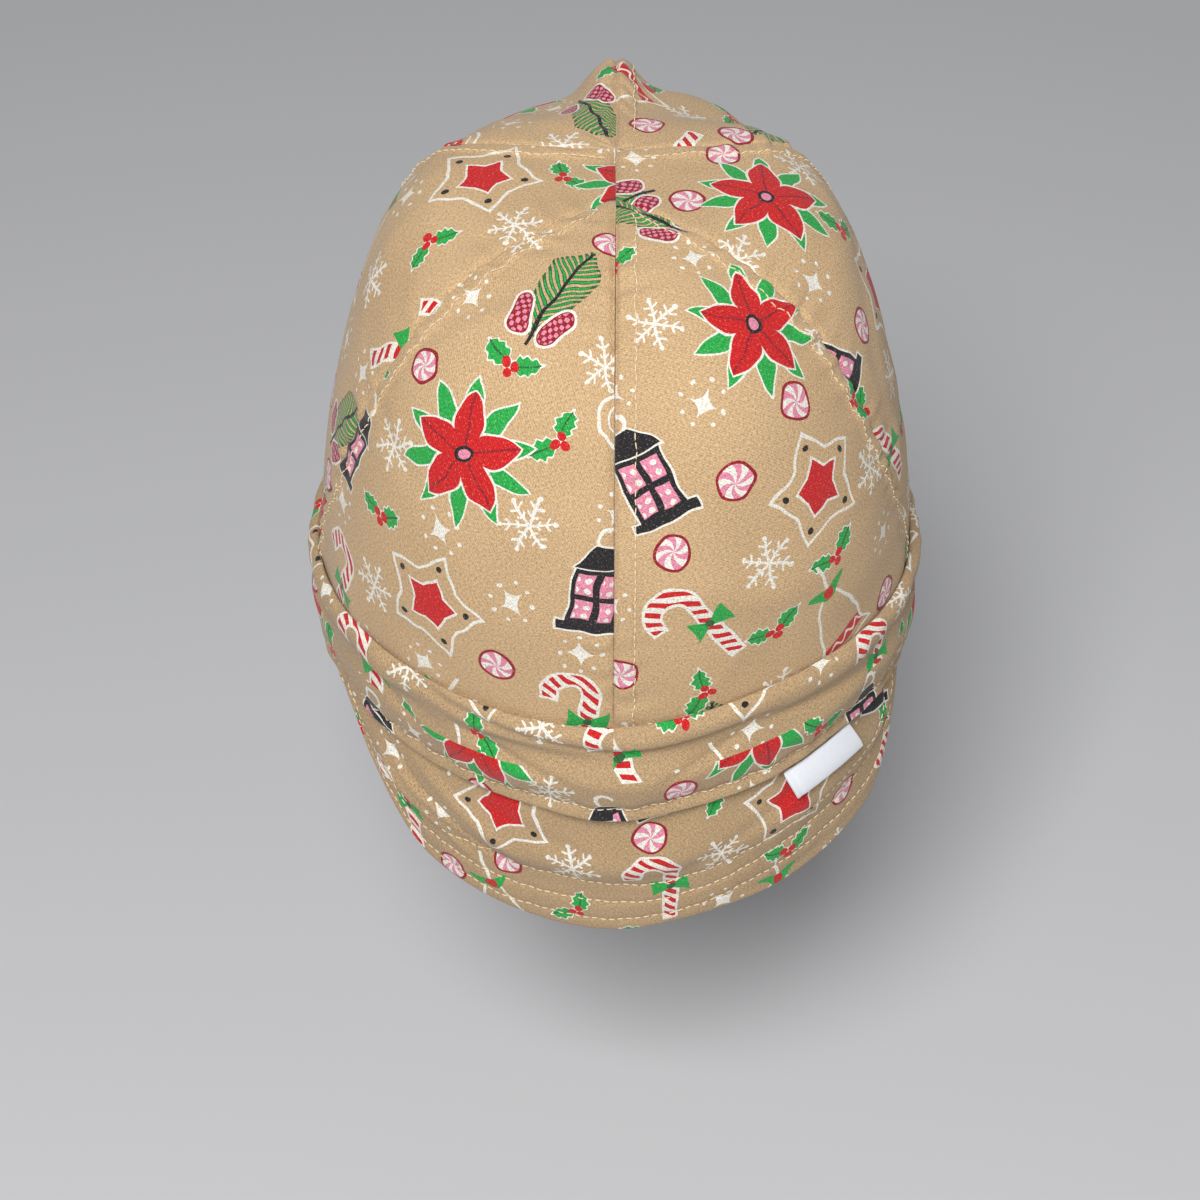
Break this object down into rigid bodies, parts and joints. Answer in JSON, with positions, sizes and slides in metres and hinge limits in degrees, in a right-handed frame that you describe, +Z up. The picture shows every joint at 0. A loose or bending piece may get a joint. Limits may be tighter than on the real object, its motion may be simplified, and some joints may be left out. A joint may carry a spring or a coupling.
{
  "type": "welding cap",
  "caption": "Soft cotton welding cap with a panelled crown, a folded band and a short stitched peak, in the form it takes on a head with the peak over the nape.",
  "frame": {"origin": "middle of the head opening, level with the band's lower edge at the ears; the cap is held there as a head holds it", "axes": "+Z up through the crown, -Y towards the peak, which hangs over the nape, +X towards the wearer's right as seen from behind"},
  "size_m": [0.1793, 0.2004, 0.2009],
  "materials": {
    "cotton_panel_back_right": "printed cotton twill",
    "cotton_panel_side_right": "printed cotton twill",
    "cotton_panel_front_right": "printed cotton twill",
    "cotton_panel_back_left": "printed cotton twill",
    "cotton_panel_side_left": "printed cotton twill",
    "cotton_panel_front_left": "printed cotton twill",
    "cotton_band": "printed cotton twill",
    "cotton_peak": "printed cotton twill",
    "satin_tag": "plain satin ribbon"
  },
  "bodies": {
    "root": {"panel_back_right": "cotton_panel_back_right", "panel_side_right": "cotton_panel_side_right", "panel_front_right": "cotton_panel_front_right", "panel_back_left": "cotton_panel_back_left", "panel_side_left": "cotton_panel_side_left", "panel_front_left": "cotton_panel_front_left", "band": "cotton_band", "peak": "cotton_peak", "tag": "satin_tag"}
  },
  "joints": []
}
